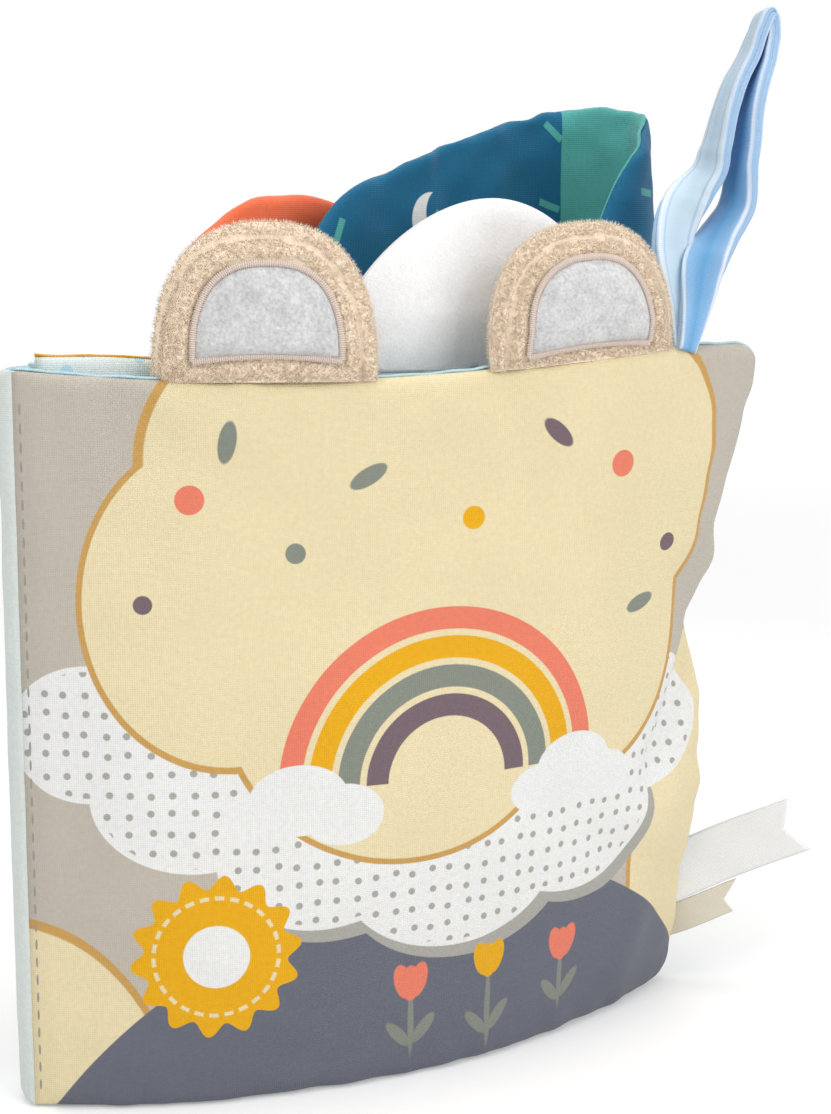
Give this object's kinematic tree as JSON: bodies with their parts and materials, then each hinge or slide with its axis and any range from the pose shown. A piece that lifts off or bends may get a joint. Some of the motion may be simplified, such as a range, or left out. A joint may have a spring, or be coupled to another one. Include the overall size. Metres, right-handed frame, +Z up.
{
  "type": "crinkle cloth book",
  "caption": "Soft cloth book for babies, standing half open: padded covers with crinkle film, fanned leaves, tall flaps, plush ears, a hanging strap and tags.",
  "frame": {"origin": "the middle of the spine's foot, on the surface that the book stands on", "axes": "+Z up; the front cover runs towards +X from the spine with its print facing -Y; the leaves and the back cover fan out behind it towards +Y"},
  "size_m": [0.1914, 0.1606, 0.2393],
  "materials": {
    "cover_print": "fine-woven polyester, printed, warm grey ground",
    "back_print": "fine-woven polyester, printed, warm grey ground",
    "pale_print": "fine-woven polyester, pale mint",
    "pale_blue_lining": "fine-woven polyester, pale blue",
    "mustard_print": "fine-woven polyester, mustard yellow",
    "blue_print": "fine-woven polyester, petrol blue with a small print",
    "teal_print": "fine-woven polyester, teal",
    "coral_print": "fine-woven polyester, coral red",
    "beige_plush": "short-pile plush, matt",
    "white_velour": "white velour, matt",
    "satin_stitch": "embroidery thread, soft sheen",
    "crinkle_film": "thin clear film, creased",
    "wadding": "loose polyester wadding",
    "blue_ribbon": "folded ribbon with stitched lines",
    "white_tape": "smooth satin tape, bare",
    "beige_tape": "cotton tape, bare",
    "grey_thread": "polyester sewing thread"
  },
  "bodies": {
    "spine": {"spine_outer": "pale_print", "spine_wadding": "wadding", "spine_lining": "pale_blue_lining", "gutter_seam": "pale_blue_lining"},
    "front_cover": {"front_cover_outer": "cover_print", "front_crinkle_film": "crinkle_film", "front_wadding": "wadding", "front_cover_lining": "pale_blue_lining", "front_topstitch": "grey_thread"},
    "back_cover": {"back_cover_outer": "back_print", "back_crinkle_film": "crinkle_film", "back_wadding": "wadding", "back_cover_lining": "pale_blue_lining", "back_topstitch": "grey_thread"},
    "mint_leaf": {"mint_leaf_front": "pale_print", "mint_leaf_wadding": "wadding", "mint_leaf_back": "mustard_print"},
    "dome_tab": {"dome_tab_front": "white_velour", "dome_tab_stuffing": "wadding", "dome_tab_back": "white_velour"},
    "blue_leaf": {"blue_leaf_front": "blue_print", "blue_leaf_film": "crinkle_film", "blue_leaf_back": "teal_print"},
    "blue_flap": {"blue_flap_front": "blue_print", "blue_flap_film": "crinkle_film", "blue_flap_back": "blue_print"},
    "coral_leaf": {"coral_leaf_front": "coral_print", "coral_leaf_wadding": "wadding", "coral_leaf_back": "mustard_print"},
    "coral_flap": {"coral_flap_front": "coral_print", "coral_flap_back": "coral_print"},
    "left_ear": {"left_ear_front_plush": "beige_plush", "left_ear_inner_velour": "white_velour", "left_ear_embroidery": "satin_stitch", "left_ear_stuffing": "wadding", "left_ear_back_plush": "beige_plush"},
    "right_ear": {"right_ear_front_plush": "beige_plush", "right_ear_inner_velour": "white_velour", "right_ear_embroidery": "satin_stitch", "right_ear_stuffing": "wadding", "right_ear_back_plush": "beige_plush"},
    "strap": {"hanging_strap": "blue_ribbon"},
    "large_tag": {"large_tag": "white_tape"},
    "small_tag": {"small_tag": "beige_tape"}
  },
  "joints": [
    {"name": "front_cover_turn", "type": "hinge", "parent": "spine", "child": "front_cover", "pos_m": [0.003, -0.009, 0], "axis": [0, 0, -1], "range_deg": [-2, 165]},
    {"name": "back_cover_turn", "type": "hinge", "parent": "spine", "child": "back_cover", "pos_m": [0.003, 0.009, 0], "axis": [0, 0, 1], "range_deg": [-4, 124]},
    {"name": "mint_leaf_turn", "type": "hinge", "parent": "spine", "child": "mint_leaf", "pos_m": [0.0095, -0.005, 0], "axis": [0, 0, -1], "range_deg": [-2, 111]},
    {"name": "blue_leaf_turn", "type": "hinge", "parent": "spine", "child": "blue_leaf", "pos_m": [0.0095, 0, 0], "axis": [0, 0, -1], "range_deg": [-2, 67]},
    {"name": "coral_leaf_turn", "type": "hinge", "parent": "spine", "child": "coral_leaf", "pos_m": [0.0095, 0.005, 0], "axis": [0, 0, 1], "range_deg": [-2.5, 63]},
    {"name": "left_ear_tilt", "type": "hinge", "parent": "front_cover", "child": "left_ear", "pos_m": [0.05564, -0.00753, 0.1595], "axis": [0.9855, 0.1694, -0.0066], "range_deg": [-5, 75], "stiffness_Nm_per_rad": 0.006},
    {"name": "right_ear_tilt", "type": "hinge", "parent": "front_cover", "child": "right_ear", "pos_m": [0.12516, 0.01579, 0.1627], "axis": [0.8853, 0.4576, 0.0829], "range_deg": [-5, 75], "stiffness_Nm_per_rad": 0.006},
    {"name": "dome_tab_tilt", "type": "hinge", "parent": "mint_leaf", "child": "dome_tab", "pos_m": [0.09834, 0.02308, 0.1602], "axis": [0.8832, 0.4691, 0], "range_deg": [-8, 4], "stiffness_Nm_per_rad": 0.006},
    {"name": "blue_flap_tilt", "type": "hinge", "parent": "blue_leaf", "child": "blue_flap", "pos_m": [0.0855, 0.0486, 0.16015], "axis": [0.7609, 0.6489, 0], "range_deg": [-8, 0], "stiffness_Nm_per_rad": 0.03},
    {"name": "coral_flap_tilt", "type": "hinge", "parent": "coral_leaf", "child": "coral_flap", "pos_m": [0.05786, 0.04214, 0.16015], "axis": [0.7825, 0.6227, 0], "range_deg": [-12, 6], "stiffness_Nm_per_rad": 0.02},
    {"name": "strap_swing", "type": "hinge", "parent": "front_cover", "child": "strap", "pos_m": [0.14789, 0.02977, 0.1643], "axis": [0.8317, 0.5551, 0.008], "range_deg": [-3, 25], "stiffness_Nm_per_rad": 0.01},
    {"name": "large_tag_swing", "type": "hinge", "parent": "front_cover", "child": "large_tag", "pos_m": [0.15214, 0.06747, 0.0194], "axis": [0, 0, 1], "range_deg": [-35, 90], "stiffness_Nm_per_rad": 0.0005},
    {"name": "small_tag_swing", "type": "hinge", "parent": "front_cover", "child": "small_tag", "pos_m": [0.15076, 0.06915, 0.00993], "axis": [0, 0, 1], "range_deg": [-35, 90], "stiffness_Nm_per_rad": 0.0005}
  ],
  "couplings": [
    {"joint": "mint_leaf_turn", "follows": "front_cover_turn", "ratio": 0.67},
    {"joint": "blue_leaf_turn", "follows": "front_cover_turn", "ratio": 0.4},
    {"joint": "coral_leaf_turn", "follows": "back_cover_turn", "ratio": 0.5}
  ]
}
